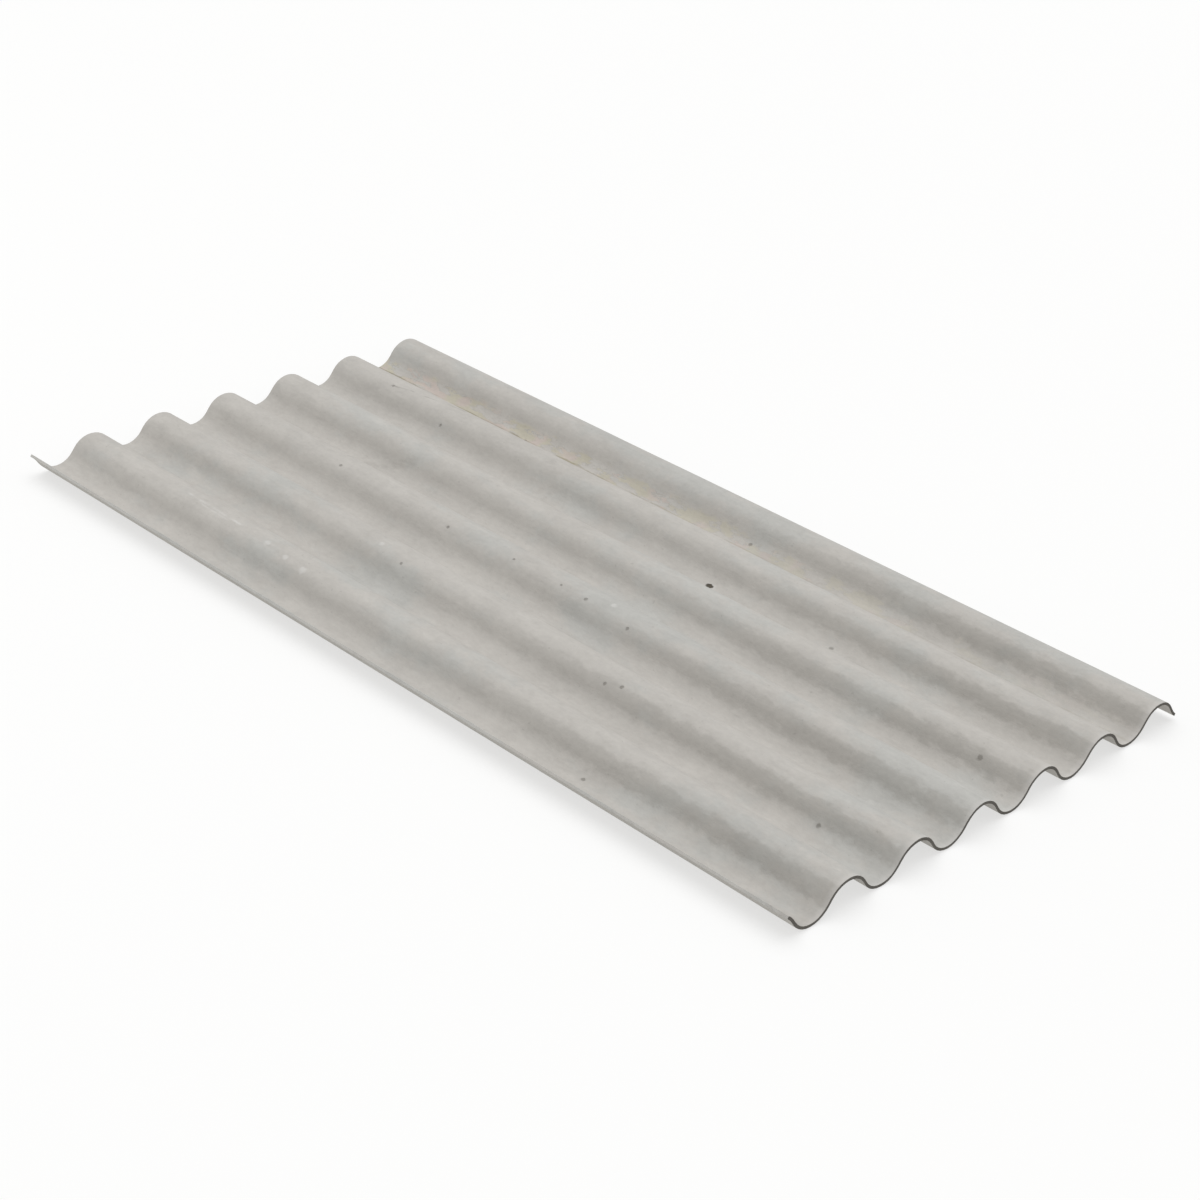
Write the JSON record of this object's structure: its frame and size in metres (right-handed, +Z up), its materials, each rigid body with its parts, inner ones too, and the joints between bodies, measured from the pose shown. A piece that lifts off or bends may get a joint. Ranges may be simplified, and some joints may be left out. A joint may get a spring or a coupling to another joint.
{
  "type": "corrugated fibre cement sheet",
  "caption": "Flat-lying roofing sheet of thin grey fibre cement, pressed into even rounded waves that run along its length, with plain sawn edges.",
  "frame": {"origin": "middle of the sheet's footprint, on the surface that its valleys rest on", "axes": "+Y along the waves, +X across them with the rising long edge on the -X side, +Z up"},
  "size_m": [1.1, 2.13, 0.0569],
  "materials": {
    "fibre_cement": "matte"
  },
  "bodies": {
    "root": {"corrugated_sheet": "fibre_cement"}
  },
  "joints": []
}
